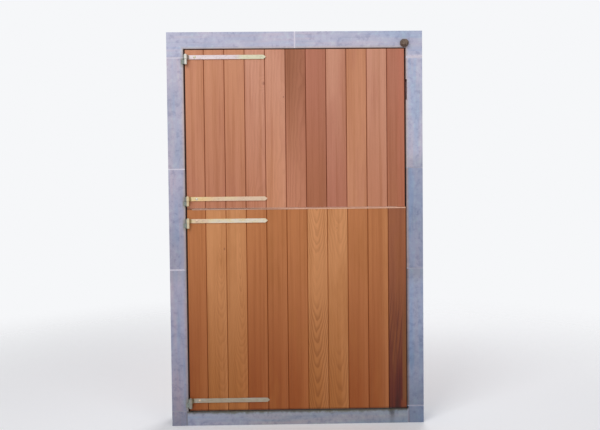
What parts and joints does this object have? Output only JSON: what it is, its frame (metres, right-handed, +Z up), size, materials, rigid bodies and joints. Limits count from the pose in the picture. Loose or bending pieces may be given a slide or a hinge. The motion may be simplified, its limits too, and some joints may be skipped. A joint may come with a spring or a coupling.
{
  "type": "stable door",
  "caption": "Two-leaf outward-opening boarded stable door on strap hinges and pintles in a rebated bluestone surround, each leaf swinging by itself.",
  "frame": {"origin": "middle of the surround's base, at half the stone's depth", "axes": "+Z up, -Y out of the outside face, +X to the right seen from outside; the hinges are at -X"},
  "size_m": [1.52, 0.2061, 2.355],
  "materials": {
    "bluestone": "fine-sawn, mottled blue-grey",
    "mortar": "struck lime mortar",
    "cedar_boards": "planed cedar under a satin oil",
    "stained_cedar": "planed cedar darkened by a stain",
    "cedar_framing": "planed cedar under a satin oil",
    "zinc_steel": "yellow-passivated zinc plating",
    "galvanised_strip": "galvanised, dull",
    "rusty_iron": "weathered brown iron"
  },
  "bodies": {
    "surround": {"threshold": "bluestone", "left_plinth": "bluestone", "right_plinth": "bluestone", "left_jamb_lower": "bluestone", "left_jamb_middle": "bluestone", "left_jamb_upper": "bluestone", "right_jamb_lower": "bluestone", "right_jamb_middle": "bluestone", "right_jamb_upper": "bluestone", "lintel_left": "bluestone", "lintel_right": "bluestone", "mortar_joints": "mortar", "lintel_stud": "rusty_iron", "upper_top_pintle": "zinc_steel", "upper_bottom_pintle": "zinc_steel", "lower_top_pintle": "zinc_steel", "lower_bottom_pintle": "zinc_steel"},
    "upper_leaf": {"upper_board_01": "cedar_boards", "upper_board_02": "cedar_boards", "upper_board_03": "cedar_boards", "upper_board_04": "cedar_boards", "upper_board_05": "cedar_boards", "upper_board_06": "cedar_boards", "upper_board_07": "cedar_boards", "upper_board_08": "cedar_boards", "upper_board_09": "cedar_boards", "upper_board_10": "cedar_boards", "upper_board_11": "cedar_boards", "upper_top_ledge": "cedar_framing", "upper_bottom_ledge": "cedar_framing", "upper_brace": "cedar_framing", "upper_top_strap": "zinc_steel", "upper_bottom_strap": "zinc_steel", "upper_coach_bolts": "zinc_steel", "upper_bolt_guide": "zinc_steel"},
    "lower_leaf": {"lower_board_01": "cedar_boards", "lower_board_02": "cedar_boards", "lower_board_03": "cedar_boards", "lower_board_04": "cedar_boards", "lower_board_05": "cedar_boards", "lower_board_06": "cedar_boards", "lower_board_07": "cedar_boards", "lower_board_08": "cedar_boards", "lower_board_09": "cedar_boards", "lower_board_10": "cedar_boards", "lower_board_11": "stained_cedar", "lower_top_ledge": "cedar_framing", "lower_middle_ledge": "cedar_framing", "lower_bottom_ledge": "cedar_framing", "lower_top_brace": "cedar_framing", "lower_bottom_brace": "cedar_framing", "lower_top_strap": "zinc_steel", "lower_bottom_strap": "zinc_steel", "lower_coach_bolts": "zinc_steel", "lower_bolt_guide": "zinc_steel", "lower_capping_strip": "galvanised_strip"},
    "upper_bolt": {"upper_sliding_bolt": "zinc_steel"},
    "lower_bolt": {"lower_sliding_bolt": "zinc_steel"}
  },
  "joints": [
    {"name": "upper_leaf_hinge", "type": "hinge", "parent": "surround", "child": "upper_leaf", "pos_m": [-0.645, -0.10205, 1.366], "axis": [0, 0, -1], "range_deg": [0, 175]},
    {"name": "lower_leaf_hinge", "type": "hinge", "parent": "surround", "child": "lower_leaf", "pos_m": [-0.645, -0.10205, 0.1525], "axis": [0, 0, -1], "range_deg": [0, 175]},
    {"name": "upper_bolt_slide", "type": "slide", "parent": "upper_leaf", "child": "upper_bolt", "axis": [1, 0, 0], "range_m": [0, 0.035]},
    {"name": "lower_bolt_slide", "type": "slide", "parent": "lower_leaf", "child": "lower_bolt", "axis": [1, 0, 0], "range_m": [0, 0.035]}
  ]
}
